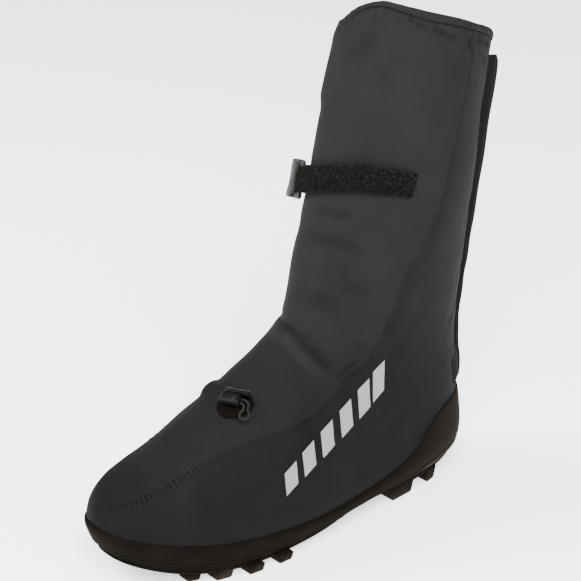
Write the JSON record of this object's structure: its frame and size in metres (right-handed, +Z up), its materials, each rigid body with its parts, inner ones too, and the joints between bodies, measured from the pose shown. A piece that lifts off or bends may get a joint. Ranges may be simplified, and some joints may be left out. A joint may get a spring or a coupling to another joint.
{
  "type": "overshoe",
  "caption": "High cycling overshoe for the left foot, with a hollow fabric shaft, a rubber rand, a lugged sole, a back closure tape, a calf strap and an instep drawcord.",
  "frame": {"origin": "on the floor, under the middle of the shoe's box", "axes": "+Z up from the floor, +Y from toe to heel, +X to the outer side of the left foot"},
  "size_m": [0.1036, 0.3362, 0.3531],
  "materials": {
    "shaft_fabric": "coated stretch fabric, satin",
    "rand_rubber": "fine matt rubber",
    "sole_rubber": "matt rubber",
    "tape": "hook and loop tape",
    "webbing": "brushed loop webbing",
    "ring_plastic": "satin",
    "lock_plastic": "polished",
    "cord": "round braid"
  },
  "bodies": {
    "root": {"upper": "shaft_fabric", "outsole": "sole_rubber", "rand": "rand_rubber", "closure_tape_hook": "tape", "closure_tape_loop": "tape", "calf_strap": "webbing", "ring_anchor": "webbing", "slot_ring": "ring_plastic", "instep_tunnel": "shaft_fabric", "cord_patch": "shaft_fabric", "cord_lock": "lock_plastic", "lock_button": "lock_plastic", "drawcord_loop": "cord"}
  },
  "joints": []
}
